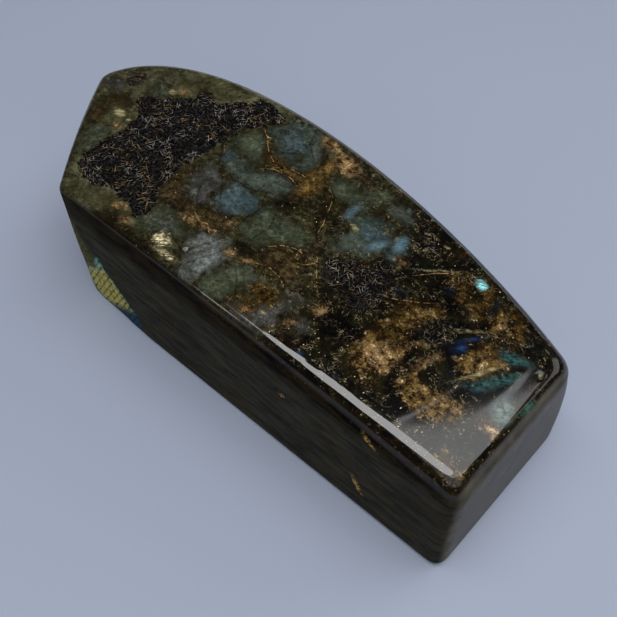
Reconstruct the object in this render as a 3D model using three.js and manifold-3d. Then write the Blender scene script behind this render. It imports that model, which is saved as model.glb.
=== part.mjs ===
// A polished freeform of labradorite, lying on its back: one stone with a sawn flat base, a long flat
// side, a bowed back, a slanted tip and a gently crowned face.
import * as THREE from "three";
import { mergeVertices } from "three/addons/utils/BufferGeometryUtils.js";
import Module from "manifold-3d";

// Driving dimensions, in millimetres. In plan x runs from the tip to the sawn base and y from the flat
// side to the bowed back; z is the height above the face that the stone lies on.
const LENGTH = 120;
const HEIGHT = 37.5;
const CROWN_CENTRE = new THREE.Vector2(50, 27);
const CROWN_RADIUS = 750;
const BACK_BELLY = 1.6;
const FOOT_SHARE = 0.35;

// Seven points lead the stone's outline. Each has its plan at the foot and at the crest, how far the
// crest is rounded inwards and downwards there, and how far the wall bellies out half way up.
const FRONT = { foot: [LENGTH, 0], crest: [LENGTH, 0], inset: [-3, 4], drop: 6, belly: 0 };
const BACK = { foot: [LENGTH, 40.4], crest: [LENGTH, 36.2], inset: [-2, -3.6], drop: 4.5, belly: BACK_BELLY };
const BACK_HANDLE = { foot: [80, 53], crest: [75, 51], inset: [0, -3], drop: 3.6, belly: BACK_BELLY };
const TIP_HANDLE = { foot: [15, 55], crest: [10, 56.4], inset: [1.6, -2.4], drop: 2.4, belly: 0 };
const TIP = { foot: [4, 28], crest: [0, 28.9], inset: [1.2, -0.4], drop: 1.2, belly: 0 };
const TIP_BOW = { foot: [11, 13], crest: [7.8, 14.4], inset: [0.9, 0.5], drop: 1, belly: 0 };
const HEEL = { foot: [20.4, 0], crest: [18.6, 0], inset: [0.5, 0.8], drop: 0.8, belly: 0 };

// How far the upright corners are rounded along each side
const FRONT_FILLET = 3;
const BACK_FILLET = 3;
const TIP_FILLET = 1.6;
const HEEL_FILLET = 1.2;

// The shallow flash facet is ground across the foot of the heel: it leaves the heel's edge at its top,
// the side's foot at its toe, and sinks into the stone at its root.
const FLASH_TOP = new THREE.Vector3(19.4, 0, 23);
const FLASH_TOE = new THREE.Vector3(40, 0, 0);
const FLASH_ROOT = new THREE.Vector3(20, 1.1, 0);
const GRINDER_SIZE = 60;

// Steps along each stretch of the outline, from the front corner round to the flat side, and steps
// through the foot rounding, the wall, the crest rounding and the crown
const OUTLINE_STEPS = [7, 9, 8, 40, 5, 12, 4, 36];
const FOOT_STEPS = 3;
const WALL_STEPS = 6;
const CREST_STEPS = 7;
const CROWN_STEPS = 7;

const STONE_COLOUR = 0x34382f;
const STONE_ROUGHNESS = 0.16;

// Height of the crowned face over a point of the plan
function crownHeight(x, y) {
  const reach = Math.hypot(x - CROWN_CENTRE.x, y - CROWN_CENTRE.y);
  return HEIGHT - reach ** 2 / (2 * CROWN_RADIUS);
}

// Leading point at the rounded foot; a quarter turn takes it from the flat up to the wall
function footPlace(point, turn) {
  const reach = FOOT_SHARE * (1 - Math.sin(turn));
  const x = point.foot[0] + point.inset[0] * reach;
  const y = point.foot[1] + point.inset[1] * reach;
  return new THREE.Vector3(x, y, point.drop * FOOT_SHARE * (1 - Math.cos(turn)));
}

// Leading point at the rounded crest, its z counted from the crowned face; a quarter turn takes it from
// the wall in to that face
function crestPlace(point, turn) {
  const reach = 1 - Math.cos(turn);
  const x = point.crest[0] + point.inset[0] * reach;
  const y = point.crest[1] + point.inset[1] * reach;
  return new THREE.Vector3(x, y, -point.drop * (1 - Math.sin(turn)));
}

// Leading point on the wall, from 0 at the foot rounding to 1 at the crest rounding
function wallPlace(point, rise) {
  const place = footPlace(point, Math.PI / 2).lerp(crestPlace(point, 0), rise);
  place.y += point.belly * 4 * rise * (1 - rise);
  return place;
}

// Curve that rounds a corner, starting and ending the given distance from it
function fillet(before, corner, after, distance) {
  const start = before.clone().sub(corner).setLength(distance).add(corner);
  const end = after.clone().sub(corner).setLength(distance).add(corner);
  return new THREE.QuadraticBezierCurve3(start, corner, end);
}

// Closed ring of points round the stone, with the leading points put where the placing function says,
// lifted by a share of the crowned face's height
function ring(place, lift) {
  const [front, back, backHandle, tipHandle, tip, tipBow, heel] = [
    FRONT, BACK, BACK_HANDLE, TIP_HANDLE, TIP, TIP_BOW, HEEL,
  ].map(place);
  const frontTurn = fillet(heel, front, back, FRONT_FILLET);
  const backTurn = fillet(front, back, backHandle, BACK_FILLET);
  const tipTurn = fillet(tipHandle, tip, tipBow, TIP_FILLET);
  const heelTurn = fillet(tipBow, heel, front, HEEL_FILLET);
  const stretches = [
    frontTurn,
    new THREE.LineCurve3(frontTurn.v2, backTurn.v0),
    backTurn,
    new THREE.CubicBezierCurve3(backTurn.v2, backHandle, tipHandle, tipTurn.v0),
    tipTurn,
    new THREE.QuadraticBezierCurve3(tipTurn.v2, tipBow, heelTurn.v0),
    heelTurn,
    new THREE.LineCurve3(heelTurn.v2, frontTurn.v0),
  ];
  const points = stretches.flatMap((curve, i) => curve.getPoints(OUTLINE_STEPS[i]).slice(0, -1));
  points.forEach((p) => (p.z += lift * crownHeight(p.x, p.y)));
  return points;
}

// Ring on the crowned face, drawn in towards the crown's centre
function crownRing(edge, share) {
  return edge.map((p) => {
    const x = THREE.MathUtils.lerp(CROWN_CENTRE.x, p.x, share);
    const y = THREE.MathUtils.lerp(CROWN_CENTRE.y, p.y, share);
    return new THREE.Vector3(x, y, crownHeight(x, y));
  });
}

// All rings from the flat foot up the wall and over the crest to the crown
function stoneRings() {
  const rings = [];
  for (let i = 0; i < FOOT_STEPS; i++) {
    rings.push(ring((p) => footPlace(p, (i / FOOT_STEPS) * (Math.PI / 2)), 0));
  }
  for (let i = 0; i < WALL_STEPS; i++) {
    rings.push(ring((p) => wallPlace(p, i / WALL_STEPS), i / WALL_STEPS));
  }
  for (let i = 0; i <= CREST_STEPS; i++) {
    rings.push(ring((p) => crestPlace(p, (i / CREST_STEPS) * (Math.PI / 2)), 1));
  }
  const edge = rings.at(-1);
  for (let i = CROWN_STEPS - 1; i > 0; i--) {
    rings.push(crownRing(edge, i / CROWN_STEPS));
  }
  return rings;
}

// Closed skin over a stack of rings, ended by a fan to one point below and one above
function skin(rings) {
  const count = rings[0].length;
  const low = new THREE.Vector3(CROWN_CENTRE.x, CROWN_CENTRE.y, 0);
  const high = new THREE.Vector3(CROWN_CENTRE.x, CROWN_CENTRE.y, HEIGHT);
  const triangles = [];
  for (let j = 0; j < count; j++) {
    const k = (j + 1) % count;
    triangles.push(low, rings[0][k], rings[0][j]);
    for (let i = 0; i + 1 < rings.length; i++) {
      triangles.push(rings[i][j], rings[i][k], rings[i + 1][k]);
      triangles.push(rings[i][j], rings[i + 1][k], rings[i + 1][j]);
    }
    triangles.push(rings.at(-1)[j], rings.at(-1)[k], high);
  }
  return new THREE.BufferGeometry().setFromPoints(triangles);
}

// Block whose one face lies on the flash facet and whose body is outside the stone
function grinder() {
  const along = FLASH_TOE.clone().sub(FLASH_TOP).normalize();
  const outward = FLASH_ROOT.clone().sub(FLASH_TOP).cross(along).normalize();
  const across = outward.clone().cross(along);
  const turn = new THREE.Matrix4().makeBasis(along, across, outward);
  const block = new THREE.BoxGeometry(GRINDER_SIZE, GRINDER_SIZE, GRINDER_SIZE);
  block.translate(0, 0, GRINDER_SIZE / 2);
  return block.applyMatrix4(turn.setPosition(FLASH_TOP));
}

function toSolid(geometry) {
  geometry.deleteAttribute("normal");
  geometry.deleteAttribute("uv");
  const merged = mergeVertices(geometry.index ? geometry.toNonIndexed() : geometry);
  const vertProperties = merged.attributes.position.array;
  const triVerts = new Uint32Array(merged.index.array);
  return new wasm.Manifold(new wasm.Mesh({ numProp: 3, vertProperties, triVerts }));
}

function toGeometry(solid) {
  const mesh = solid.getMesh();
  const geometry = new THREE.BufferGeometry();
  geometry.setAttribute("position", new THREE.BufferAttribute(mesh.vertProperties, 3));
  geometry.setIndex(new THREE.BufferAttribute(mesh.triVerts, 1));
  return geometry;
}

// Puts the middle of the stone's box over the origin, with the foot at zero height
function standOnOrigin(geometry) {
  geometry.computeBoundingBox();
  const { min, max } = geometry.boundingBox;
  return geometry.translate(-(min.x + max.x) / 2, -(min.y + max.y) / 2, -min.z);
}

const wasm = await Module();
wasm.setup();

const ground = toSolid(skin(stoneRings())).subtract(toSolid(grinder()));
const geometry = standOnOrigin(toGeometry(ground));
geometry.computeVertexNormals();

const stone = new THREE.Mesh(
  geometry,
  new THREE.MeshStandardMaterial({ color: STONE_COLOUR, roughness: STONE_ROUGHNESS, metalness: 0 }),
);
stone.name = "stone";

const freeform = new THREE.Group();
freeform.add(stone);

export default freeform;
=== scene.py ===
"""A polished labradorite freeform lying on its back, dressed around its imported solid."""

import math

import bmesh
import bpy
import numpy
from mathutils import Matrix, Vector, noise


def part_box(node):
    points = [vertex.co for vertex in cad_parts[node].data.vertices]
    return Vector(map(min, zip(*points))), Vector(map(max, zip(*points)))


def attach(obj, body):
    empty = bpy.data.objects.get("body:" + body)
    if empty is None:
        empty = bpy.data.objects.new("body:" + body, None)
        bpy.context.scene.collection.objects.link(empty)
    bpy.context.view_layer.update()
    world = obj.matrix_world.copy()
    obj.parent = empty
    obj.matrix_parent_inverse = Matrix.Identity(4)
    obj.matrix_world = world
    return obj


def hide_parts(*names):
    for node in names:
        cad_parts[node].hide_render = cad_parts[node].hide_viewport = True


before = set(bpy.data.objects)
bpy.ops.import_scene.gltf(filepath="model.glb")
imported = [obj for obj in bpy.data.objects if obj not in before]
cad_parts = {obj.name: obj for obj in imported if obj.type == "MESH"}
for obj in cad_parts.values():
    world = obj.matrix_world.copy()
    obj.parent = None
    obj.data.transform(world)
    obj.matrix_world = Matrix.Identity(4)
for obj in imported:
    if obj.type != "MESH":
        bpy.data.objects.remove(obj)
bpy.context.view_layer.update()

# Sizes in metres unless a name says millimetres
MM = 0.001
STONE_LOW, STONE_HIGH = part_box("stone")
TOP_MM = STONE_HIGH[2] / MM

# The camera as the photograph has it
CAMERA_PLACE = (0.08526, -0.09206, 0.19151)
CAMERA_TURN = math.radians(41.36)
CAMERA_DOWN = math.radians(56)
CAMERA_LENS = 58.7
CAMERA_SENSOR = 36
CAMERA_NEAR = 0.005

# The board under the stone, and the dim light all round it
FLOOR_HALF = 1.5
SURROUND = (0.045, 0.047, 0.052, 1)

# Softboxes: how far to the right, behind and above the stone they hang as the camera sees it, their width
# and length, how they are tilted and turned against the camera (degrees), and their radiance
SOFTBOXES = (
    ("overhead_box", 0.102, -0.076, 0.62, (0.57, 0.42), 0, 21.6, 3.0),
    ("streak_box", -0.116, -0.07, 0.61, (0.36, 0.09), 0, -43, 4.8),
    ("front_box", 0.1, -0.75, 0.8, (1.4, 0.8), 40, 0, 0.75),
    ("back_panel", 0.1, 1.25, 0.2, (2.4, 0.36), -90, 0, 0.8),
    ("right_box", 1.1, 0.4, 0.9, (0.8, 0.8), -50, -70, 1.6),
    ("glint_box", -0.612, -0.264, 0.39, (0.055, 0.12), 57, -41.36, 5),
)

# Mesh of the polished stone
SKIN_VOXEL = 0.00056
CROWN_LEVEL = 0.985
CROWN_SMOOTHING = 60
SKIN_SMOOTHING = 3

# Natural pits in the polish: place in plan (mm), width and depth (mm)
PITS = (
    (-10.1, -19.4, 1.5, 0.7),
    (-17.6, -21.6, 0.8, 0.3),
    (-47.0, -7.4, 0.7, 0.25),
    (0.0, -17.2, 0.6, 0.25),
    (25.5, -11.2, 0.7, 0.25),
    (56.2, 3.9, 0.8, 0.3),
)

# Outlines of the minerals cut by the crowned face, traced in plan (mm)
NEEDLE_NEST = (
    ((-48, 4.2), (-46.5, 5.4), (-44, 6), (-42, 8), (-40, 9.2), (-38.4, 10.8), (-38.8, 13.4),
     (-37, 14.6), (-35.4, 13.4), (-33.4, 13), (-31.6, 14.6), (-29.6, 16.8), (-28.2, 18), (-27, 20.4),
     (-23, 20.6), (-19.4, 19.6), (-18.8, 17.4), (-20.6, 15.4), (-22, 13), (-23.6, 11), (-23.8, 8.4),
     (-24.4, 5), (-25.2, 1), (-25.4, -2.4), (-26, -5), (-25.6, -8), (-25.6, -11.6), (-24, -13.8),
     (-22.6, -16), (-22.4, -18.4), (-24, -20.4), (-25.6, -19.4), (-28, -18.4), (-30, -18.6),
     (-33, -18), (-36, -19.6), (-39, -19.8), (-41.6, -19.2), (-44, -17.6), (-44.6, -15.4), (-44, -12),
     (-43.8, -8), (-43, -5), (-43.6, -1), (-45, 0.6), (-47.4, 2.4)),
)
DIM_NESTS = (
    ((-55.6, 7.4), (-54, 9.2), (-51, 9.6), (-50, 7.2), (-51, 5.4), (-54, 5.8)),
    ((12, -2.5), (14.6, -0.8), (18, 0.2), (20, 2.4), (23, 2.6), (25, -0.6), (25.4, -5), (24.4, -8),
     (21, -8.6), (17.5, -7.6), (14.6, -7.4), (12.4, -5.4)),
    ((34.4, 0.4), (37.4, 1.4), (39.6, 0), (39.4, -3.4), (36.6, -4.6), (34.6, -3.6)),
    ((21, 16), (24, 14.6), (27, 13.4), (26, 11.4), (23, 11.4), (21.4, 13)),
)
OLIVE_FIELD = (
    ((-60, 4), (-50, 15), (-38, 21), (-22, 23), (-18, 21.6), (-19, 17), (-25, 8), (-24, 2), (-26, -6),
     (-25, -14), (-21.5, -15), (-20.5, -22), (-24, -25), (-40, -26), (-50, -9)),
)
BLACK_MATRIX = (
    ((25, 4.6), (30, 4.8), (33, 7), (36.6, 5), (36, 2.4), (31, 1), (28, -2), (25.4, -1.5)),
    ((20.6, -11.6), (25.4, -11.4), (27.4, -13.4), (25.4, -17), (22, -17.6), (20.4, -15)),
    ((35, -12.4), (38, -13), (37.8, -16.4), (35.4, -17)),
    ((36, -18.6), (39, -17), (44, -16.8), (45, -19), (42, -21.6), (37, -21.6)),
    ((18.6, 4.4), (21, 6), (24, 5), (24, 2.6), (20, 2.4)),
    ((50.4, -9.6), (52.8, -8), (54, -4.6), (53.4, -2.4), (51.6, -6), (49.6, -8)),
    ((24, 10.8), (28, 12.4), (32, 11), (31, 8.8), (27, 9.6)),
)
BROWN_GROUND = (
    ((-53.4, 0.6), (-50, 2.6), (-47, 1), (-47.6, -1), (-50, -3), (-49.6, -6), (-50.6, -8.6),
     (-52.6, -6), (-53.4, -2.6)),
    ((-26, -4), (-22.6, -3), (-21.6, -7.5), (-19.6, -10), (-16.4, -10.4), (-13, -8.4), (-9, -7.6),
     (-7.6, -10), (-10, -12.6), (-15, -12.4), (-20, -13.4), (-24.4, -13.2), (-25.4, -10)),
    ((2, -7.2), (5, -5.6), (9, -6), (10, -9), (9.4, -12.4), (8.8, -13.8), (5, -13.4), (2.2, -13),
     (2, -9.6)),
    ((5.6, 0), (8.6, -0.6), (9.6, -3), (8, -4.6), (6.8, -2.4)),
    ((-39.4, 14), (-37.4, 14.6), (-35.6, 13.6), (-37, 12.2), (-39, 12.4)),
    ((-31.6, 8), (-28.6, 7), (-26.4, 4.8), (-25.2, 1.4), (-26, 1.6), (-28, 4.4), (-31, 6.4)),
    ((2, 16.4), (4.6, 18.8), (5.4, 16), (4, 14.2)),
    ((8, 12.4), (12, 13.2), (19, 12.8), (19.4, 11.8), (12, 11.6)),
)
DARK_BROWN = (
    ((-5, 5), (-1, 5.4), (0, 3), (-0.6, 0), (-4, -0.6), (-5.6, -1), (-4.8, 2.5)),
    ((0, 9.6), (3, 10), (4, 7), (5.4, 4), (5.6, 1), (4, 1), (2, 5), (0.4, 7.5)),
    ((-30, -21.6), (-25, -22), (-20, -23), (-14, -24), (-14, -25.4), (-31, -25.4)),
    ((-1, -11), (1.6, -10.4), (1.4, -12.6), (-2.6, -13.4), (-4, -11.4)),
    ((6, 9.6), (7.4, 9), (8.6, 4.4), (8, 1.6), (6.4, 4)),
)
KHAKI_PATCHES = (
    ((-44, 13), (-40.6, 13.8), (-38.6, 12), (-39, 10), (-41, 8.6), (-44, 9), (-44.6, 11)),
    ((-49.6, -1), (-47, -0.6), (-44.6, -2), (-44.6, -4.6), (-46, -6.2), (-49, -5.6)),
    ((-46, 17.6), (-38, 20.6), (-30, 19), (-33, 15.4), (-40, 16)),
    ((-22.6, 6.2), (-18, 5.6), (-12.8, 5.2), (-12.6, 4.6), (-18, 4.8), (-23, 5.4)),
    ((-36, -20.4), (-30, -20.2), (-29, -22), (-33, -23.4), (-37, -22.6)),
    ((-5.4, 7.6), (-1.4, 8), (-0.6, 5), (-4.6, 4.8)),
    ((-0.6, 1.2), (2.6, 1.6), (4, 0), (0.4, -0.6)),
)
GREEN_CRYSTALS = (
    ((-23, 11.5), (-21, 13.2), (-19.2, 12.5), (-17, 10.5), (-15, 9), (-13.6, 7), (-13, 5.8),
     (-15, 5.6), (-18, 5.8), (-21.5, 6.4), (-23.2, 8)),
    ((-5.5, -1.5), (-2, -0.8), (3, -0.6), (6, -1), (7.2, -3), (5, -5.2), (2.6, -6.4), (1.2, -8.2),
     (-1, -9.6), (-3.6, -10), (-6, -9), (-6.4, -6.5), (-6, -4)),
    ((-1.6, -15.4), (2, -14.4), (5, -13.8), (8, -14), (8.5, -15.4), (6, -16.4), (4.5, -18), (3, -20),
     (2.6, -22.6), (0, -24.4), (-3, -24.4), (-3.4, -20.5), (-2, -18)),
    ((-22, -15), (-19, -14.4), (-15, -14.8), (-13, -15.8), (-12.6, -17.6), (-14, -18.6), (-17, -19),
     (-19, -20.8), (-21, -22), (-22.6, -19.5), (-22.6, -17)),
    ((0, 13.5), (3, 15), (5, 14.4), (7.5, 16), (9.4, 18.6), (12, 17.6), (11, 13.4), (7.6, 11),
     (4, 10.2), (1, 10.4), (-0.6, 12)),
    ((-49.6, -8.6), (-46, -7.6), (-44, -9), (-44.6, -13), (-46, -15.6), (-48.4, -12.6)),
    ((-48, 9.6), (-45.6, 10), (-44, 8.6), (-45, 6.4), (-48, 6)),
)
TEAL_CRYSTALS = (
    ((9.6, 9.6), (11.5, 11.2), (14.5, 11.4), (17.5, 11), (19, 9), (18.6, 5), (17.2, 2.4), (14.8, 0.8),
     (11.5, 0.6), (9.8, 2.4), (10.4, 5), (9.4, 7)),
    ((-20, 14.5), (-19, 17), (-17, 21), (-13, 22), (-9.5, 21), (-8.5, 18.5), (-6, 16.5), (-5, 14),
     (-5.2, 11), (-6.5, 9.8), (-10, 9.3), (-13.5, 10.2), (-16, 11.2), (-18, 13)),
    ((-22.5, 5), (-19, 4.6), (-14, 4.4), (-12, 5.4), (-10.5, 6.8), (-8, 7.1), (-5.6, 6.8), (-4.8, 5.5),
     (-5, 3), (-6.5, 1.6), (-9, 0.9), (-11, 0), (-15, -0.4), (-18, -0.2), (-20.5, 1), (-22, 3)),
    ((12.6, 15.6), (14, 17), (16.5, 17.2), (18.6, 16), (19.4, 14.2), (17, 13.2), (14, 13.4)),
    ((9.6, 2), (12, 2.6), (13.4, 0.4), (11, -0.6)),
)
STEEL_CRYSTALS = (
    ((-15.5, -1), (-12.5, -0.6), (-9, -0.8), (-7.2, -2), (-6.8, -4), (-7.6, -6), (-9.5, -7),
     (-12, -7.6), (-14.5, -7.5), (-15.8, -5.5), (-15, -3)),
    ((11.4, 9.6), (14.4, 10.4), (16.6, 9.4), (16.4, 6.6), (14, 5), (11.6, 6.4)),
    ((18.9, 11.4), (20.4, 11.8), (21.6, 10.4), (22, 8.6), (21, 7), (20.4, 5.2), (19.2, 6.4),
     (18.6, 8.8)),
    ((-16.4, 18.6), (-13, 18), (-9.6, 15.6), (-10, 12.6), (-13.6, 11.8), (-16.4, 14.6)),
    ((7.2, 11), (8.2, 11), (8.6, 7.8), (7.6, 7.4)),
    ((-22.6, 4.6), (-20.4, 4.6), (-19.6, 2.8), (-21.4, 2)),
)
GREY_CRYSTALS = (
    ((-21.5, 0), (-17, -1.6), (-15.6, -3.4), (-16, -6), (-15.4, -8.5), (-16.8, -10), (-19.5, -9.8),
     (-21.5, -7.5), (-22.6, -4), (-22.6, -1.5)),
    ((11.6, -12.8), (13.6, -12.2), (15, -13), (14.4, -15.4), (13.4, -18), (13.6, -20.6), (12, -24),
     (6, -24.4), (4.6, -21.6), (8, -19.5), (10.5, -17.5), (11, -15)),
    ((16.8, -16.4), (18.6, -15.8), (20, -17.4), (18.8, -19), (17, -18.6)),
    ((-58.6, 4), (-56.5, 5), (-53, 4.6), (-52, 3), (-54, 1), (-56.6, 2)),
)
LILAC_CRYSTALS = (
    ((-10.6, -14.5), (-8.5, -13), (-6, -12.6), (-5, -14), (-2.8, -15.2), (-2.6, -17), (-3.6, -19.8),
     (-4, -22), (-5, -24), (-8, -23.6), (-9.2, -21), (-11, -19.4), (-12, -17)),
    ((-19.6, -16), (-17.6, -15.6), (-16, -17), (-17, -19), (-19.4, -18.6)),
)
SLATE_CRYSTALS = (
    ((24.6, 9), (27, 9.6), (29.4, 8.6), (28.6, 6.6), (25.4, 6)),
    ((25.2, 1.6), (27.4, 2), (28.4, 0), (26.6, -1), (25, 0)),
    ((41.8, -8.6), (42.8, -6.4), (44.6, -5.2), (46.6, -6.4), (47.2, -8.6), (46.2, -10.6),
     (43.6, -10.6)),
    ((49.8, 9.4), (52, 9.6), (54, 7.4), (51.6, 5.6), (49.6, 6.8)),
    ((48, -21), (49, -17), (52, -14.6), (57.6, -14.6), (57.6, -21.6), (53, -22.4)),
    ((35, 12.6), (32, 13.6), (31.6, 12), (34, 10.6)),
    ((22, -21), (27, -19.6), (31, -20.6), (30, -22.4), (24, -22.6)),
)
GOLD_STAIN = (
    ((-5, 16), (-2.4, 17), (-1.4, 14), (-0.6, 11), (-0.8, 8), (-1.4, 5.6), (-4, 5), (-5, 8),
     (-5.4, 10), (-5, 13)),
    ((-15.6, 10), (-13, 9.6), (-10, 9), (-7, 9.6), (-5, 9.8), (-5.4, 7.6), (-9, 7.8), (-11.4, 7.2),
     (-14, 7.4)),
)
GOLD_GROUND = (
    ((38.5, -13.4), (40, -12.2), (43, -12.4), (46.5, -12), (49.6, -11.2), (50, -13.2), (47.6, -15.4),
     (44.5, -16), (41, -14.8)),
    ((44.4, -2), (46, -0.4), (47.6, 1), (49.6, 0.6), (49, -2), (47.4, -4.4), (45.6, -4.4),
     (44.2, -3.6)),
    ((28.4, -9.6), (31, -10), (34.4, -9.6), (34.4, -13.4), (33.6, -16.4), (30.6, -16.8), (28.6, -14.6),
     (29.4, -12)),
)
AMBER_GROUND = (
    ((43.2, 9.2), (44.6, 11), (46.8, 10.8), (48.6, 9), (48.6, 6.8), (46.6, 6.4), (44.4, 6.6)),
    ((39.4, 9.2), (41.2, 9.4), (41.4, 7.4), (40.4, 5.8), (39.2, 7)),
    ((29.4, -2.4), (31.4, 0.8), (34, 2.4), (35, 1), (33, -1.4), (32, -4.6), (33.4, -8), (32.6, -9.6),
     (29.4, -9), (30, -6)),
    ((37.6, 12.6), (39.6, 12.8), (40.6, 11.2), (39, 10.4)),
    ((5.6, -16.4), (8, -15.6), (10.4, -16.2), (9.6, -17.8), (6.6, -18)),
    ((32.4, 11.6), (34.6, 11), (35, 9.4), (33, 9.2)),
    ((53, -19.6), (57, -19.8), (57, -21.6), (52, -21.6)),
    ((46.4, 3.6), (48, 2.6), (47, 1.4), (45.6, 2.4)),
    ((6.4, -20.6), (8.6, -20), (9, -21.8), (7, -22.4)),
)
TEAL_BARS = (
    ((47.2, -7.4), (48.4, -5), (50.6, -1.6), (52.8, 1.4), (54.4, 2), (53.4, -0.6), (51.6, -3.6),
     (49.4, -6.6)),
    ((48, 3.6), (50.2, 4.6), (53, 5.2), (54.6, 4.8), (53, 3.6), (51.4, 2), (49, 1.8)),
)
NAVY_BARS = (
    ((53.4, -5.6), (54, -2.8), (55, 0.2), (56.2, -0.4), (55.4, -3), (54.6, -5.8)),
    ((40.4, 12.4), (41.6, 12.2), (42.6, 9.8), (42.2, 7.4), (41.6, 8.4), (41.2, 10.6)),
    ((48.4, -7.2), (51, -3.8), (53, -0.8), (53.6, -1.4), (51.8, -4.6), (49.6, -7.8)),
)

# Seams traced: broken golden threads, and dark cracks, each a line of points in plan (mm)
GOLD_THREADS = (
    ((-19.8, 13.6), (-17.6, 11.6), (-15.4, 10), (-13.4, 8.8), (-12, 7.9), (-10, 8.6), (-8, 9.4),
     (-5.6, 9.6)),
    ((-13.2, 5.4), (-12, 6.4), (-10.4, 7.2), (-8, 7.5), (-5.5, 7)),
    ((-18.8, 12.6), (-16.6, 13), (-15, 14)),
    ((1.2, -8.2), (2.8, -6.6), (5, -5.6), (7, -5.2), (8.6, -5.8)),
    ((-0.6, -14), (1.2, -13.2), (3.2, -12.2), (5, -11.8), (7.4, -12.2), (9, -13)),
    ((-15, -11.8), (-13, -12.6), (-11.4, -12.2), (-10.2, -13.2)),
    ((0.6, 10.2), (2.4, 9.4), (3.4, 7.6), (4.4, 5.4), (5.4, 3.2), (6, 1)),
    ((5, -17), (7, -16.4), (9.6, -16.6), (10.6, -15.8)),
    ((5, -7), (7, -7.6), (9, -7), (10.6, -5.4)),
    ((10.4, -4.6), (12.6, -7.4), (15, -9.6)),
    ((46, -6.4), (47.6, -3.6), (49.2, -1), (50, 0.2)),
    ((26.6, 5.6), (28.4, 8), (30.4, 9.8), (32.4, 11)),
    ((24.4, -2.4), (27.4, -1.2), (30, 0.8), (32, 2.4)),
)
DARK_CRACKS = (
    ((-23.6, 4.6), (-21, 1.2), (-18.4, -0.6), (-15.8, -3.4), (-14, -6)),
    ((-15.6, -0.6), (-12, -0.4), (-9.4, 0.6), (-7, 1.8), (-5, 3)),
    ((-13.4, 11), (-10.6, 13.4)),
    ((-8.4, 10.4), (-6, 13)),
    ((-6.4, -1), (-6.4, -5), (-7.4, -8), (-6.6, -11.6)),
    ((-10.4, -19.6), (-8, -15.4), (-6.8, -13)),
    ((-8, -21.6), (-5.6, -17), (-4.8, -14.4)),
    ((4, -20.6), (1.6, -17.6), (-0.4, -15.8)),
    ((-14.2, -18.6), (-12.2, -19.4), (-10.4, -20.8), (-8.6, -22.6), (-7.4, -24.6)),
    ((-24, -14), (-20, -13.4), (-17.4, -13.2), (-14, -13.4), (-10, -13.6)),
    ((-12, 20.6), (-10.4, 17), (-7.4, 14.6)),
    ((-3, -1.4), (-1.6, -5), (-2.6, -9.4)),
    ((-20.4, -4.6), (-18.6, -7.4), (-17, -9.6)),
)

# Small lenses and grains: middle in plan, half length, half width, all in millimetres, and turn in degrees
TAN_GRAINS = (
    (-1.2, 17.8, 3.2, 2, -16),
    (-7.2, 20, 2.4, 1, -10),
    (31.6, -13, 2, 2.6, 20),
    (-7.8, -9.3, 0.8, 1.4, 0),
    (-15, -13.3, 1.7, 0.8, 8),
    (-12, -12.6, 1.6, 0.35, -4),
    (-3.4, -14, 1.2, 0.6, 10),
    (0.4, -13.6, 0.9, 0.35, 24),
    (-29, 6.6, 2.2, 0.5, -36),
    (-28.4, 8.8, 0.9, 0.5, -30),
    (-31.2, -17, 0.9, 0.8, 0),
    (-27.8, -19.7, 1.5, 0.6, 10),
    (-24.2, -21.6, 1.2, 0.6, 0),
    (56, -10.8, 2, 0.9, 2),
    (15.6, -18.6, 0.9, 0.9, 0),
    (18.5, -12.8, 0.9, 1.1, 0),
    (-41.6, 11, 1.3, 0.7, 10),
    (-44.8, -5, 0.9, 0.7, 0),
    (22.4, 6.3, 0.9, 0.7, 0),
    (45, 7.6, 0.6, 0.9, 0),
    (35, -12.6, 0.4, 2.4, 0),
    (45, -12.4, 3, 0.4, 4),
    (8, -21.4, 0.9, 0.5, 20),
    (37.4, -5, 1.2, 0.5, 40),
    (39.4, -8.4, 0.6, 2.2, -16),
)
PALE_SILK = (
    (48, -3, 3.7, 0.4, 60),
    (-43.4, 9.2, 0.9, 0.7, 0),
    (-47.4, -2.4, 1.4, 1, 0),
    (-44.4, -2.6, 0.6, 0.6, 0),
    (10.8, -19.9, 0.6, 0.35, 0),
    (56.3, 3.8, 0.4, 0.5, 0),
    (22, 15, 0.5, 0.4, 0),
    (27, 14.8, 0.5, 0.35, 0),
    (24.4, 11.6, 0.4, 0.5, 0),
    (10.6, 6.2, 1.2, 0.5, -20),
    (40.6, 2, 1.6, 0.14, 42),
    (41.6, 2.4, 1.8, 0.14, 44),
    (42.4, 3.4, 1.5, 0.14, 40),
    (28.6, 9, 2.2, 0.14, 38),
)
CREAM_GEM = (
    (-15.4, -20.6, 1.8, 1.7, 0),
    (-12.8, -22.6, 1.3, 0.4, 0),
)
AQUA_FLASH = (
    (37.3, 12.1, 1, 0.9, 30),
    (36.4, 12.8, 0.6, 0.3, 40),
)
SKY_FLASH = (
    (7.8, 9.2, 0.5, 1.5, 0),
    (20, 9.2, 1, 1.8, 10),
    (16.6, 6, 0.8, 2, -30),
)
GREEN_GLINT = (
    (58.5, -2.6, 0.5, 1.6, 0),
)
BLUE_FLASH = (
    (42.5, -1.2, 0.6, 0.9, -20),
    (43, 1.6, 1.2, 0.22, 52),
    (21.2, -22, 0.5, 0.4, 0),
)
BLUE_HAZE = (
    (42.2, -1.8, 1.5, 1.9, -20),
    (33.4, 7.4, 1, 0.8, 0),
    (54.6, -3, 2.6, 0.6, 64),
)
# Teal flash at the front corner painted pale and milky: partly flash, partly painted reflection of the
# overhead lamp lying over it
AQUA_FLASH_AND_REFLECTION = (
    (55.4, -6.4, 1.9, 2.6, 20),
)

# How deep below the top the lenses and the outlines reach, how far below it the lenses have their middle,
# and a distance beyond all of them, in millimetres
LENS_DEPTH_MM = 9
OUTLINE_DEPTH_MM = 7
LENS_SUNK_MM = 2
FAR_MM = 99.0

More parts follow.
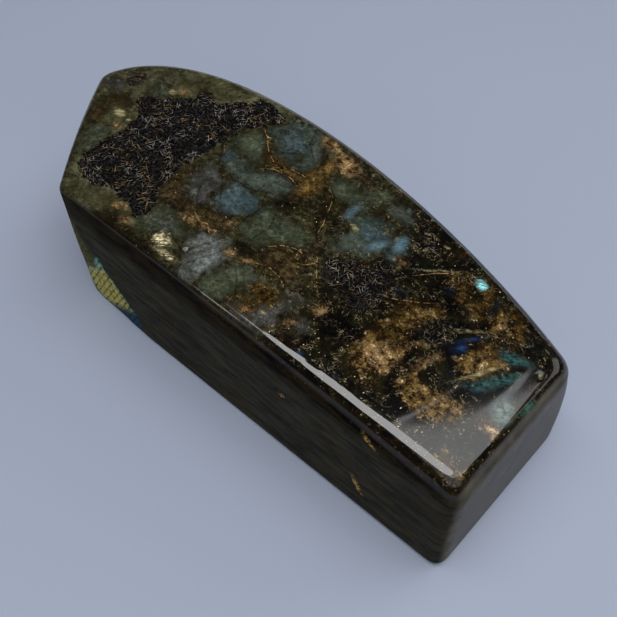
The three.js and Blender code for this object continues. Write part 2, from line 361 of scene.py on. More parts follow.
# Layers of needles: how far each is shifted against the one before, then spacing, half length and half
# width, all in millimetres
LAYER_SHIFT = (17.3, 9.1)
NEEDLE_LAYERS = (
    (2.9, 1.6, 0.026),
    (2.3, 1.3, 0.026),
    (1.6, 0.9, 0.024),
    (1.3, 0.7, 0.024),
    (1.05, 0.55, 0.022),
    (0.85, 0.45, 0.022),
)

# Minerals in the order in which they overlie each other: name of the mask, outlines, tone of the rim, dark
# and light tone of the body, and how far the edge fades, in millimetres
MINERALS = (
    ("black_matrix", BLACK_MATRIX, "050403", "010101", "080705", 1.2),
    ("brown_ground", BROWN_GROUND, "221a0e", "282013", "52462f", 1.0),
    ("dark_brown", DARK_BROWN, "1a150a", "0e0b05", "302915", 1.0),
    ("khaki_patches", KHAKI_PATCHES, "35331f", "3a3927", "65644c", 1.5),
    ("green_crystals", GREEN_CRYSTALS, "2d2e20", "32372b", "5a614f", 1.5),
    ("teal_crystals", TEAL_CRYSTALS, "2b2e23", "2f3630", "525a52", 1.5),
    ("steel_crystals", STEEL_CRYSTALS, "323b37", "323f43", "56656a", 1.5),
    ("grey_crystals", GREY_CRYSTALS, "332f24", "353533", "575756", 1.5),
    ("lilac_crystals", LILAC_CRYSTALS, "36372d", "40433c", "7c8080", 1.5),
    ("gold_stain", GOLD_STAIN, "2a2110", "3a2d15", "79633b", 1.4),
    ("slate_crystals", SLATE_CRYSTALS, "0c0d0a", "0d100f", "222826", 0.7),
)

# Crumbly minerals: name of the mask, outlines, and their dark, middle and light tone
CRUMBLY = (
    ("gold_ground", GOLD_GROUND, "241808", "6a5732", "dccbab"),
    ("amber_ground", AMBER_GROUND, "170f04", "463718", "ad9669"),
)

# Crystals whose common edge is stained
CRYSTAL_KINDS = (GREEN_CRYSTALS, TEAL_CRYSTALS, STEEL_CRYSTALS, GREY_CRYSTALS, LILAC_CRYSTALS)

# Patches of flash, as lenses and as bars: name of the mask, places, dark and light tone, and fade (mm)
FLASHES = (
    ("blue_haze", BLUE_HAZE, "0a0d13", "161f30", 0.8),
    ("blue_flash", BLUE_FLASH, "121a2c", "3a5680", 0.6),
    ("sky_flash", SKY_FLASH, "3c4b51", "6d8590", 0.7),
    ("aqua_flash", AQUA_FLASH, "226470", "b9ecea", 0.4),
    ("green_glint", GREEN_GLINT, "203a33", "4f7a6c", 0.3),
    # Partly painted reflection: the teal flash made milky as under the lamp's reflection
    ("aqua_flash_and_reflection", AQUA_FLASH_AND_REFLECTION, "3a4442", "74837e", 1.2),
)
FLASH_BARS = (
    ("navy_bars", NAVY_BARS, "07090a", "16242c", 0.9),
    ("teal_bars", TEAL_BARS, "0a1616", "456564", 0.9),
)

# Nests, a field and grains whose tones come with their texture
FIELDS = (
    ("needle_nest", NEEDLE_NEST),
    ("dim_nests", DIM_NESTS),
    ("olive_field", OLIVE_FIELD),
)
GRAINS = (
    ("tan_grains", TAN_GRAINS),
    ("pale_silk", PALE_SILK),
    ("cream_gem", CREAM_GEM),
)

# Angular shards and blotches that break the edges of the crystals, how far these have grown beyond their
# outlines, and how the outlines wander, in millimetres
SHARD_SIZE = 2.2
SHARD_JUMP = 0.7
BLOTCH_JUMP = 4
GROWTH_MM = 0.6
WANDER_SIZE = 3.5
WANDER_REACH = 0.35

# Where the rusty matrix and the pale filigree set in and are complete along the stone (mm), between which
# heights the crest's dark band fades out (mm), and how far a face has turned where the sides, the polish
# and the sawn end set in and are complete
MATRIX_ALONG = (8, 20)
FILIGREE_ALONG = (-2, 16)
CREST_BAND = (35, 25)
WALL_TURN = (0.85, 0.4)
POLISH_TURN = (0.2, 0.5)
END_TURN = (0.6, 0.95)

# How much the polish deepens the colours, and the lift that keeps the crystals as bright as they were
POLISH_DEPTH = 1.22
POLISH_LIFT = 1.85

# The flash on the flat side by x and z (mm), with the set of its dark lamellae, and the chips that glitter
# there, written as the lenses are
FLASH_LEAF = (
    (-33.9, 19.6), (-32.6, 16.8), (-31.6, 15.6), (-29.9, 14.1), (-28.6, 12), (-27, 10.2), (-25.8, 8.6),
    (-24, 7), (-23.2, 3), (-24, 0), (-37, 0), (-39.8, 3.2), (-40.9, 6.4), (-40.6, 10), (-38.6, 12.4),
    (-36.6, 12.8), (-35.6, 16), (-35, 18.6),
)
HEEL_KHAKI = ((-43, 27), (-39.6, 26.4), (-36, 19), (-34.4, 14), (-33, 8), (-37, 0), (-43, 0))
LEAF_TIP = (-33.9, 19.6)
LEAF_RUN = (0.56, -0.83)
SIDE_DEPTH_MM = 2.5
LAMELLA_ACROSS = (0.866, -0.5)
LAMELLA_STEP = 1.3
GOLD_CHIPS = (
    (38.8, 9.7, 2.7, 0.7, -64),
    (19.3, 22.7, 0.7, 0.6, 0),
    (40.4, 30.5, 1.6, 0.5, -40),
)

# Narrow flat ground along the front half of the crest: the way it faces, how deep it is at each place along
# the stone (mm), and how far on either side of a place the crest is felt for (mm)
STRIP_FACING = (0.05, -0.292, 0.955)
STRIP_DEPTHS = ((13, 0.0), (19, 0.05), (27, 0.065), (35, 0.065), (43, 0.065), (50, 0.065), (55.5, 0.06))
STRIP_STATION = 0.4


def colour(code):
    """Linear colour of a six-figure hex code."""
    parts = [int(code[i:i + 2], 16) / 255 for i in (0, 2, 4)]
    return tuple(((c + 0.055) / 1.055) ** 2.4 if c > 0.04045 else c / 12.92 for c in parts) + (1.0,)


class Shading:
    """Short words for the nodes of one material."""

    def __init__(self, name):
        self.material = bpy.data.materials.new(name)
        self.material.use_nodes = True
        self.tree = self.material.node_tree
        self.tree.nodes.clear()

    def node(self, kind, inputs=None, **settings):
        """New node with its settings, and with a value or a link at each of its inputs."""
        made = self.tree.nodes.new(kind)
        for key, value in settings.items():
            setattr(made, key, value)
        for key, value in (inputs or {}).items():
            if isinstance(value, bpy.types.NodeSocket):
                self.tree.links.new(value, made.inputs[key])
            else:
                made.inputs[key].default_value = value
        return made

    def math(self, operation, *values):
        return self.node("ShaderNodeMath", dict(enumerate(values)), operation=operation).outputs[0]

    def vector(self, operation, *values):
        return self.node("ShaderNodeVectorMath", dict(enumerate(values)), operation=operation).outputs[0]

    def scaled(self, vector, factor):
        return self.node("ShaderNodeVectorMath", {0: vector, "Scale": factor}, operation="SCALE").outputs[0]

    def parts(self, vector):
        return self.node("ShaderNodeSeparateXYZ", {0: vector}).outputs

    def draws(self, random_colour):
        """Three random numbers out of a texture's colour."""
        return self.node("ShaderNodeSeparateColor", {0: random_colour}).outputs

    def join(self, x, y, z):
        return self.node("ShaderNodeCombineXYZ", {0: x, 1: y, 2: z}).outputs[0]

    def noise(self, place, size, detail=3, roughness=0.55, distortion=0.0):
        """Noise of a grain size in millimetres."""
        return self.node(
            "ShaderNodeTexNoise",
            {
                "Vector": place,
                "Scale": 1 / size,
                "Detail": detail,
                "Roughness": roughness,
                "Distortion": distortion,
            },
        ).outputs

    def mottle(self, *place_and_size, **settings):
        """Grey noise, as one number."""
        return self.noise(*place_and_size, **settings)[0]

    def drift(self, reach, *place_and_size, **settings):
        """Vector that wanders about nothing by roughly the reach, in millimetres."""
        draws = self.draws(self.noise(*place_and_size, **settings)[1])
        centred = [self.math("MULTIPLY_ADD", draw, 2 * reach, -reach) for draw in draws]
        return self.join(*centred)

    def cells(self, place, size, flat=False):
        """Cells of one size in millimetres, in space or in a plane."""
        return self.node(
            "ShaderNodeTexVoronoi",
            {"Vector": place, "Scale": 1 / size},
            voronoi_dimensions="2D" if flat else "3D",
        ).outputs

    def ramp(self, value, low, high):
        """Smooth rise from 0 at low to 1 at high."""
        return self.node(
            "ShaderNodeMapRange",
            {"Value": value, "From Min": low, "From Max": high},
            interpolation_type="SMOOTHSTEP",
        ).outputs[0]

    def mix(self, amount, first, second, mode="MIX"):
        return self.node(
            "ShaderNodeMix", {0: amount, 6: first, 7: second}, data_type="RGBA", blend_type=mode
        ).outputs[2]


def stretched(shade, place, turn, sizes):
    """Coordinates turned about z and measured in a streak's own length, width and depth."""
    made = shade.node(
        "ShaderNodeMapping",
        {"Vector": place, "Rotation": (0, 0, math.radians(turn)), "Scale": sizes},
        vector_type="TEXTURE",
    )
    return made.outputs[0]


def face_plan(shade, place, normal):
    """The point in the plane of the face that it lies on, so that needles lie flat in every face."""
    x, y, z = shade.parts(place)
    nx, ny, nz = (shade.math("ABSOLUTE", part) for part in shade.parts(normal))
    up = shade.math("GREATER_THAN", nz, 0.6)
    across = shade.math("GREATER_THAN", ny, nx)
    along = shade.math("MAXIMUM", up, across)
    first = shade.math("MULTIPLY_ADD", along, shade.math("SUBTRACT", x, y), y)
    second = shade.math("MULTIPLY_ADD", up, shade.math("SUBTRACT", y, z), z)
    return shade.join(first, second, 0.0)


def needles(shade, plan, size, length, width, seed):
    """One layer of fine needles, each lying its own way and of its own brightness."""
    shifted = shade.vector("ADD", plan, (seed * LAYER_SHIFT[0], seed * LAYER_SHIFT[1], 0))
    cells = shade.cells(shifted, size, flat=True)
    draw = shade.draws(cells["Color"])
    local = shade.vector("SUBTRACT", shifted, cells["Position"])
    turned = shade.node(
        "ShaderNodeVectorRotate",
        {"Vector": local, "Angle": shade.math("MULTIPLY", draw[0], math.pi)},
        rotation_type="Z_AXIS",
    ).outputs[0]
    run, off, _ = shade.parts(shade.vector("ABSOLUTE", turned))
    line = shade.ramp(off, width * 1.6, width * 0.2)
    end = shade.ramp(run, length, length * 0.5)
    cover = shade.math("MULTIPLY", line, end)
    return shade.math("MULTIPLY", cover, shade.math("POWER", draw[1], 1.4))


def specks(shade, place, size, radius, share):
    """Scattered bright dots for the painted glints: only a share of the cells has one."""
    cells = shade.cells(place, size)
    chosen = shade.ramp(shade.draws(cells["Color"])[0], 1 - share, 1 - share * 0.8)
    dot = shade.ramp(cells["Distance"], radius, radius * 0.4)
    return shade.math("MULTIPLY", chosen, dot)


class Rock(Shading):
    """The places and textures that all minerals of the stone share."""

    def __init__(self, name):
        super().__init__(name)
        coordinates = self.node("ShaderNodeTexCoord").outputs
        self.normal = coordinates["Normal"]
        self.place = self.scaled(coordinates["Object"], 1 / MM)
        self.fine = self.drift(0.5, self.place, 1.0, detail=4, roughness=0.65)
        self.bent = self.vector("ADD", self.place, self.fine)
        shard = self.draws(self.cells(self.bent, SHARD_SIZE)["Color"])[0]
        self.cloud = self.cloud_at(4.5, 5)
        self.grain = self.cloud_at(0.9, 5)
        self.grit = self.cloud_at(0.4, 3)
        self.fibre = self.mottle(stretched(self, self.bent, 32, (2.4, 0.3, 1.2)), 1)
        self.ragged = self.math("MULTIPLY_ADD", self.grain, 2.4, -1.2)
        blotch = self.math("MULTIPLY_ADD", self.cloud_at(2.2, 4), BLOTCH_JUMP, -BLOTCH_JUMP / 2)
        shift = self.math("MULTIPLY_ADD", shard, SHARD_JUMP, -SHARD_JUMP / 2)
        self.broken = self.math("MULTIPLY_ADD", self.ragged, 0.5, self.math("ADD", shift, blotch))
        tone = self.math("MULTIPLY_ADD", self.grain, 0.3, self.cloud)
        tone = self.math("MULTIPLY_ADD", self.fibre, 0.35, tone)
        self.tone = self.ramp(tone, 0.62, 1.03)

    def cloud_at(self, size, detail):
        """Clouds of one size in millimetres."""
        return self.mottle(self.place, size, detail=detail, roughness=0.62)

    def reach(self, mask, wander=None):
        """Distance from the edge of a mask that the mesh carries, with the edge broken up."""
        reach = self.node("ShaderNodeAttribute", attribute_name=mask).outputs["Fac"]
        return reach if wander is None else self.math("ADD", reach, wander)

    def cover(self, mask, fade, wander=None):
        """From 0 outside to 1 inside a mask."""
        return self.ramp(self.reach(mask, wander), fade, -fade)

    def thread(self, mask, wander, width):
        """A thin line along a mask's edge."""
        return self.ramp(self.math("ABSOLUTE", self.reach(mask, wander)), width, width * 0.3)

    def two_tone(self, dark, light):
        """Dark and light tone as the stone's own texture has them."""
        return self.mix(self.tone, colour(dark), colour(light))

    def blend(self, value, low, high, first, second):
        """One tone passing into another while a value rises."""
        return self.mix(self.ramp(value, low, high), colour(first), colour(second))

    def laid(self, ground, tone, cover, share):
        """A tone laid over the ground by a share of its cover."""
        return self.mix(self.math("MULTIPLY", cover, share), ground, colour(tone))

    def veins(self, size, distortion):
        """How far a noise is from its middle, which it crosses along winding lines."""
        winding = self.mottle(self.bent, size, detail=2, distortion=distortion)
        return self.math("ABSOLUTE", self.math("SUBTRACT", winding, 0.5))

    def on_end(self):
        """How far a face has turned towards the sawn end."""
        return self.ramp(self.parts(self.normal)[0], *END_TURN)


def groundmass(rock):
    """What lies between the crystals: olive over the middle, rusty black with green towards the base."""
    middle = rock.two_tone("232115", "4a4833")
    rubble = rock.mottle(rock.bent, 3.4, detail=7, roughness=0.72, distortion=0.6)
    matrix = rock.blend(rubble, 0.42, 0.58, "030302", "1d150a")
    matrix = rock.mix(rock.ramp(rubble, 0.56, 0.72), matrix, colour("553c19"))
    green = rock.ramp(rock.math("MULTIPLY_ADD", rock.grain, 0.4, rock.cloud), 0.72, 0.9)
    matrix = rock.laid(matrix, "141813", green, 0.6)
    along = rock.math("ADD", rock.parts(rock.place)[0], rock.math("MULTIPLY", rock.broken, 2))
    ground = rock.mix(rock.ramp(along, *MATRIX_ALONG), middle, matrix)
    return rock.mix(rock.cover("olive_field", 1.5, rock.broken), ground, rock.two_tone("353422", "62624d"))


def mineral(rock, ground, mask, rim, dark, light, fade):
    """One mineral over the others, dull at its rim and clear in its body."""
    reach = rock.reach(mask, rock.broken)
    body = rock.mix(rock.ramp(reach, 0.6, -2.6), colour(rim), rock.two_tone(dark, light))
    return rock.mix(rock.ramp(reach, fade, -fade), ground, body)


def clouding(rock, ground):
    """Olive haze and hair cracks through crystals and ground alike, and milky clouds."""
    haze = rock.ramp(rock.mottle(rock.bent, 5, detail=5, roughness=0.65, distortion=0.5), 0.46, 0.68)
    ground = rock.laid(ground, "2c2914", haze, 0.7)
    milk = rock.ramp(rock.mottle(rock.bent, 1.9, detail=5, roughness=0.68), 0.54, 0.72)
    milk = rock.math("MULTIPLY", milk, rock.cover("crystal_edge", 1.0, rock.broken))
    ground = rock.laid(ground, "717a72", milk, 0.6)
    crack = rock.ramp(rock.veins(2.6, 1.2), 0.024, 0.006)
    crack = rock.math("MULTIPLY", crack, rock.ramp(rock.cloud, 0.42, 0.56))
    return rock.laid(ground, "141008", crack, 0.55)


def graininess(rock, ground):
    """Fine light and dark grain, stronger in the matrix than in the clear crystals."""
    clear = rock.cover("crystal_edge", 1.0, rock.broken)
    clear = rock.math("MAXIMUM", clear, rock.cover("olive_field", 1.5, rock.broken))
    swing = rock.math("MULTIPLY_ADD", clear, -0.75, 1.15)
    light = rock.ramp(rock.math("MULTIPLY_ADD", rock.grit, 0.6, rock.grain), 0.55, 1.05)
    light = rock.math("SUBTRACT", light, 0.5)
    factor = rock.math("MULTIPLY_ADD", light, swing, 0.88)
    factor = rock.node("ShaderNodeCombineColor", {0: factor, 1: factor, 2: factor}).outputs[0]
    return rock.mix(1.0, ground, factor, "MULTIPLY")


def seams(rock, ground):
    """Brown stains round the crystals, broken golden threads and dark cracks."""
    slight = rock.math("MULTIPLY", rock.ragged, 0.3)
    edge = rock.math("ABSOLUTE", rock.reach("crystal_edge", rock.broken))
    stain = rock.math("MULTIPLY", rock.ramp(edge, 1.1, 0.0), rock.ramp(rock.cloud, 0.46, 0.64))
    ground = rock.laid(ground, "1d1608", stain, 0.75)
    halo = rock.thread("gold_threads", slight, 0.7)
    ground = rock.laid(ground, "2a1d0b", halo, 0.5)
    crack = rock.thread("dark_cracks", slight, 0.34)
    ground = rock.laid(ground, "120e07", crack, 0.42)
    gleam = rock.ramp(rock.grain, 0.42, 0.56)
    line = rock.math("MULTIPLY", rock.thread("gold_threads", slight, 0.12), gleam)
    ground = rock.laid(ground, "927d56", line, 0.8)
    in_places = rock.ramp(rock.cloud_at(1.6, 3), 0.54, 0.66)
    fringe = rock.math("MULTIPLY", rock.ramp(edge, 0.12, 0.03), in_places)
    return rock.laid(ground, "86703f", fringe, 0.6)


def crumbs(rock, ground):
    """Crumbly gold and amber with a glow round them, tan grains, silky streaks and a creamy gem."""
    crumb = rock.mottle(rock.bent, 1.7, detail=6, roughness=0.78)
    crumb = rock.math("ADD", crumb, rock.math("MULTIPLY_ADD", rock.grit, 0.3, -0.15))
    for mask, _, dark, middle, light in CRUMBLY:
        ground = rock.laid(ground, "33240b", rock.cover(mask, 2.6, rock.broken), 0.6)
        rust = rock.blend(crumb, 0.41, 0.57, dark, middle)
        rust = rock.mix(rock.ramp(crumb, 0.57, 0.74), rust, colour(light))
        ragged = rock.math("MULTIPLY_ADD", crumb, -7, 3.5)
        ground = rock.mix(rock.cover(mask, 1.0, rock.math("ADD", rock.broken, ragged)), ground, rust)
    tan = rock.blend(crumb, 0.4, 0.56, "2b1f0f", "7d6749")
    tan = rock.mix(rock.ramp(crumb, 0.56, 0.7), tan, colour("cdb996"))
    spread = rock.math("MULTIPLY_ADD", rock.ragged, 0.9, rock.math("MULTIPLY", rock.broken, 0.6))
    ground = rock.mix(rock.cover("tan_grains", 0.8, spread), ground, tan)
    silk = rock.blend(rock.fibre, 0.35, 0.65, "4a4630", "958d6e")
    ground = rock.mix(rock.cover("pale_silk", 0.3, rock.math("MULTIPLY", rock.ragged, 0.6)), ground, silk)
    shine = rock.math("MULTIPLY_ADD", rock.fibre, 0.6, rock.math("MULTIPLY", crumb, 0.6))
    gem = rock.blend(shine, 0.5, 0.72, "40371f", "d8cfae")
    return rock.mix(rock.cover("cream_gem", 0.8, spread), ground, gem)


def needle_felt(rock):
    """Cover of countless thin needles lying every way in the face."""
    plan = face_plan(rock, rock.place, rock.normal)
    plan = rock.vector("ADD", plan, rock.scaled(rock.fine, 0.03))
    straw = None
    for seed, (size, length, width) in enumerate(NEEDLE_LAYERS):
        layer = needles(rock, plan, size, length, width, seed + 1)
        straw = layer if straw is None else rock.math("MAXIMUM", straw, layer)
    tuft = rock.ramp(rock.cloud_at(2.6, 2), 0.42, 0.6)
    return rock.math("MULTIPLY", straw, rock.math("MULTIPLY_ADD", tuft, 0.8, 0.2))


def nests(rock, ground, straw):
    """Nests of needles in dark felt, and looser pale filigree over the rusty half."""
    felt = rock.blend(rock.grain, 0.4, 0.7, "040405", "222122")
    pale = rock.blend(rock.cloud, 0.42, 0.62, "c4bcb0", "b89c6c")
    nest = rock.mix(straw, felt, pale)
    patches = rock.ramp(rock.math("MULTIPLY_ADD", rock.grain, 0.7, rock.cloud_at(2.4, 3)), 0.86, 1.04)
    curls = rock.math("MULTIPLY", patches, rock.ramp(rock.veins(1.1, 1.0), 0.014, 0.004))
    wisps = rock.math("MULTIPLY", straw, rock.ramp(rock.cloud_at(3.6, 3), 0.5, 0.66))
    loose = rock.math("MAXIMUM", wisps, rock.math("MULTIPLY", curls, 0.75))
    rusty = rock.ramp(rock.parts(rock.place)[0], *FILIGREE_ALONG)
    loose = rock.math("MULTIPLY", loose, rock.math("MULTIPLY_ADD", rusty, 0.75, 0.25))
    ground = rock.mix(loose, ground, colour("b5a788"))
    ground = rock.mix(rock.math("MULTIPLY", rock.cover("dim_nests", 1.0, rock.broken), 0.85), ground, nest)
    return rock.mix(rock.cover("needle_nest", 0.3, rock.ragged), ground, nest)


def painted_glints(rock, ground):
    """Painted highlights: tiny bright glints laid into the colour, fewer over the crystals and the olive
    field.
    """
    dull = rock.math("MAXIMUM", rock.cover("crystal_edge", 1.0), rock.cover("olive_field", 1.0))
    share = rock.math("MULTIPLY_ADD", dull, -0.65, 0.8)
    shine = rock.math("MULTIPLY", specks(rock, rock.bent, 1.1, 0.12, 0.32), share)
    # Painted highlight: cream-white glints mixed into the colour
    return rock.mix(shine, ground, colour("e4d5b2"))


def deepened(rock, ground):
    """The polish brings out the colours: darks go deeper and lights stay clear."""
    deep = rock.node("ShaderNodeGamma", {0: ground, 1: POLISH_DEPTH}).outputs[0]
    return rock.mix(1.0, deep, (POLISH_LIFT, POLISH_LIFT, POLISH_LIFT, 1), "MULTIPLY")


def wall_tone(rock, ground):
    """The sawn sides are charcoal brown with only a hint of the pattern, and the end is a lighter grey,
    partly its own tone and partly painted reflection of the bright board.
    """
    deep = rock.ramp(rock.parts(rock.place)[2], *CREST_BAND)
    steep = rock.ramp(rock.parts(rock.normal)[2], *WALL_TURN)
    steep = rock.math("MULTIPLY", steep, rock.math("MULTIPLY_ADD", deep, 0.12, 0.84))
    streak = rock.mottle(stretched(rock, rock.bent, 3, (7, 1.5, 1.5)), 1, detail=5)
    dim = rock.blend(streak, 0.3, 0.72, "262620", "46443a")
    dim = rock.laid(dim, "473920", rock.ramp(rock.cloud, 0.48, 0.66), 0.4)
    crest = rock.blend(streak, 0.4, 0.6, "0a0704", "2a1f0c")
    dim = rock.mix(rock.ramp(deep, 1.0, 0.2), dim, crest)
    # Partly painted reflection: the end face is made lighter for the lit board that it mirrors
    end = rock.blend(rock.cloud, 0.35, 0.65, "3e382a", "5a513e")
    dim = rock.mix(rock.on_end(), dim, end)
    return rock.mix(steep, ground, dim)


def side_flash(rock, ground):
    """Leaf of yellow-green flash at the heel of the flat side, teal at its tip and blue at its end."""
    khaki = rock.blend(rock.grain, 0.35, 0.65, "33311d", "7d774b")
    heel = rock.math("MULTIPLY", rock.cover("heel_khaki", 1.8, rock.broken), 0.85)
    ground = rock.mix(heel, ground, khaki)
    x, _, z = rock.parts(rock.place)
    along_x = rock.math("MULTIPLY", rock.math("SUBTRACT", x, LEAF_TIP[0]), LEAF_RUN[0])
    along = rock.math("MULTIPLY_ADD", rock.math("SUBTRACT", z, LEAF_TIP[1]), LEAF_RUN[1], along_x)
    reach = rock.reach("flash_leaf", rock.math("MULTIPLY", rock.ragged, 0.7))
    leaf = rock.blend(reach, -0.3, -1.8, "a9bc96", "d6c86e")
    leaf = rock.mix(rock.ramp(along, 5, 0.5), leaf, colour("6fb3a6"))
    leaf = rock.mix(rock.ramp(along, 13, 16.5), leaf, colour("1a4a66"))
    across = rock.math("MULTIPLY_ADD", z, LAMELLA_ACROSS[1], rock.math("MULTIPLY", x, LAMELLA_ACROSS[0]))
    across = rock.math("MULTIPLY_ADD", rock.ragged, 0.2, across)
    beat = rock.math("FRACT", rock.math("DIVIDE", across, LAMELLA_STEP))
    lamella = rock.ramp(rock.math("ABSOLUTE", rock.math("SUBTRACT", beat, 0.5)), 0.26, 0.04)
    lamella = rock.math("MULTIPLY", lamella, rock.ramp(rock.cloud_at(1.8, 3), 0.3, 0.6))
    leaf = rock.laid(leaf, "1f1d0e", lamella, 0.85)
    leaf = rock.laid(leaf, "4a4824", rock.ramp(rock.grain, 0.46, 0.66), 0.7)
    ground = rock.mix(rock.ramp(reach, 0.5, -0.6), ground, leaf)
    chip = rock.blend(rock.grit, 0.4, 0.62, "3a260e", "e0b468")
    return rock.mix(rock.cover("gold_chips", 0.4, rock.math("MULTIPLY", rock.ragged, 0.8)), ground, chip)


def gloss(rock, ground):
    """Mirror polish on the crowned face, a dull rub on the sides and a little shine on the sawn end."""
    polished = rock.node(
        "ShaderNodeBsdfPrincipled",
        {"Base Color": ground, "Roughness": 0.09, "IOR": 1.5},
    )
    rubbed = rock.node(
        "ShaderNodeBsdfPrincipled",
        {"Base Color": ground, "Roughness": 0.5, "IOR": 1.5, "Specular IOR Level": 0.01},
    )
    sawn = rock.node(
        "ShaderNodeBsdfPrincipled",
        {"Base Color": ground, "Roughness": 0.26, "IOR": 1.5, "Specular IOR Level": 0.024},
    )
    side = rock.node(
        "ShaderNodeMixShader", {0: rock.on_end(), 1: rubbed.outputs[0], 2: sawn.outputs[0]}
    )
    level = rock.ramp(rock.parts(rock.normal)[2], *POLISH_TURN)
    return rock.node(
        "ShaderNodeMixShader", {0: level, 1: side.outputs[0], 2: polished.outputs[0]}
    ).outputs[0]


def labradorite():
    """Feldspar crystals in a dark matrix, with needle nests, golden seams and patches of flash."""
    rock = Rock("labradorite_polished")
    ground = groundmass(rock)
    for mask, _, rim, dark, light, fade in MINERALS:
        ground = mineral(rock, ground, mask, rim, dark, light, fade)
    ground = graininess(rock, seams(rock, clouding(rock, ground)))
    ground = crumbs(rock, ground)
    ground = painted_glints(rock, nests(rock, ground, needle_felt(rock)))
    slight = rock.math("MULTIPLY", rock.ragged, 0.8)
    silky = rock.math("MULTIPLY_ADD", rock.fibre, 0.4, rock.math("MULTIPLY", rock.grain, 0.8))
    silky = rock.ramp(silky, 0.42, 0.8)
    for mask, _, dark, light, fade in (*FLASH_BARS, *FLASHES):
        flash = rock.mix(silky, colour(dark), colour(light))
        ground = rock.mix(rock.cover(mask, fade, slight), ground, flash)
    ground = deepened(rock, ground)
    ground = side_flash(rock, wall_tone(rock, ground))
    rock.node("ShaderNodeOutputMaterial", {"Surface": gloss(rock, ground)})
    return rock.material


def tabletop():
    """Smooth matt blue-grey board."""
    shade = Shading("tabletop_grey")
    shader = shade.node("ShaderNodeBsdfPrincipled", {"Base Color": colour("abb5ca"), "Roughness": 0.75})
    shade.node("ShaderNodeOutputMaterial", {"Surface": shader.outputs[0]})
    return shade.material


def remeshed(source, voxel):
    """Copy of a solid's mesh in even quads, with its loose triangles joined first."""
    bm = bmesh.new()
    bm.from_mesh(source.data)
    bmesh.ops.remove_doubles(bm, verts=bm.verts, dist=1e-6)
    mesh = bpy.data.meshes.new("stone_rough")
    bm.to_mesh(mesh)
    bm.free()
    rough = bpy.data.objects.new("stone_rough", mesh)
    bpy.context.scene.collection.objects.link(rough)
    skin = rough.modifiers.new("even_skin", "REMESH")
    skin.mode = "VOXEL"
    skin.voxel_size = voxel
    graph = bpy.context.evaluated_depsgraph_get()
    even = bpy.data.meshes.new_from_object(rough.evaluated_get(graph))
    bpy.data.objects.remove(rough)
    return even


def edge_reach(across, up, corners, closed):
    """Distance in millimetres of every point from a line of corners, negative on one side of it."""
    nearest = numpy.full(len(across), FAR_MM)
    side = numpy.ones(len(across))
    inside = numpy.zeros(len(across), bool)
    ends = corners[1:] + corners[:1] if closed else corners[1:]
    for (x0, y0), (x1, y1) in zip(corners, ends):
        run_x, run_y = x1 - x0, y1 - y0
        share = ((across - x0) * run_x + (up - y0) * run_y) / (run_x ** 2 + run_y ** 2)
        share = numpy.clip(share, 0, 1)
        away = numpy.hypot(across - x0 - share * run_x, up - y0 - share * run_y)
        turn = numpy.sign((across - x0) * run_y - (up - y0) * run_x)
        side = numpy.where(away < nearest, turn, side)
        nearest = numpy.minimum(nearest, away)
        if y0 != y1:
            between = (up < y0) != (up < y1)
            inside ^= between & (across < x0 + (up - y0) * run_x / run_y)
    return nearest * (numpy.where(inside, -1, 1) if closed else side)


def outlines_reach(points, outlines):
    """Distance of every point from the nearest of several outlines of the crowned face."""
    sunk = numpy.maximum(TOP_MM - OUTLINE_DEPTH_MM - points[:, 2], 0)
    reaches = [edge_reach(points[:, 0], points[:, 1], outline, True) for outline in outlines]
    return numpy.min(reaches, 0) + sunk


def threads_reach(points, threads):
    """Distance of every point from the nearest of several threads, with the sign of its side."""
    reaches = numpy.array([edge_reach(points[:, 0], points[:, 1], thread, False) for thread in threads])
    nearest = numpy.argmin(numpy.abs(reaches), 0)
    sunk = numpy.maximum(TOP_MM - OUTLINE_DEPTH_MM - points[:, 2], 0)
    return reaches[nearest, numpy.arange(len(points))] + sunk


def lens_reach(points, lenses):
    """Distance in millimetres of every point from the nearest lens, negative inside it."""
    nearest = numpy.full(len(points), FAR_MM)
    sunk = (points[:, 2] - TOP_MM + LENS_SUNK_MM) / LENS_DEPTH_MM
    for x, y, length, width, turn in lenses:
        cos, sin = math.cos(math.radians(turn)), math.sin(math.radians(turn))
        away_x, away_y = points[:, 0] - x, points[:, 1] - y
        along = (away_x * cos + away_y * sin) / length
        across = (away_y * cos - away_x * sin) / width
        reach = numpy.sqrt(along ** 2 + across ** 2 + sunk ** 2)
        nearest = numpy.minimum(nearest, (reach - 1) * min(length, width))
    return nearest


def wandered(points):
    """The points drawn a little out of true, so that no mineral has a clean outline."""
    drift = [noise.noise_vector(Vector(point) / WANDER_SIZE) for point in points]
    return points + numpy.array(drift) * WANDER_REACH


def write_mask(mesh, mask, reach):
    """Keeps a distance at every point of the mesh under the mask's name."""
    layer = mesh.attributes.new(mask, "FLOAT", "POINT")
    layer.data.foreach_set("value", reach.astype("f"))


def mark_minerals(mesh):
    """Writes each mineral's mask on the mesh as a distance."""
    points = numpy.empty(len(mesh.vertices) * 3)
    mesh.vertices.foreach_get("co", points)
    points = points.reshape(-1, 3) / MM
    loose = wandered(points)
    for mask, outlines, *_ in (*MINERALS, *CRUMBLY):
        write_mask(mesh, mask, outlines_reach(loose, outlines) - GROWTH_MM)
    for mask, outlines, *_ in (*FLASH_BARS, *FIELDS):
        write_mask(mesh, mask, outlines_reach(loose, outlines))
    for mask, lenses, *_ in (*FLASHES, *GRAINS):
        write_mask(mesh, mask, lens_reach(loose, lenses))
    write_mask(mesh, "crystal_edge", outlines_reach(loose, sum(CRYSTAL_KINDS, ())) - GROWTH_MM)
    write_mask(mesh, "gold_threads", threads_reach(loose, GOLD_THREADS))
    write_mask(mesh, "dark_cracks", threads_reach(loose, DARK_CRACKS))
    mark_flat_side(mesh, points)


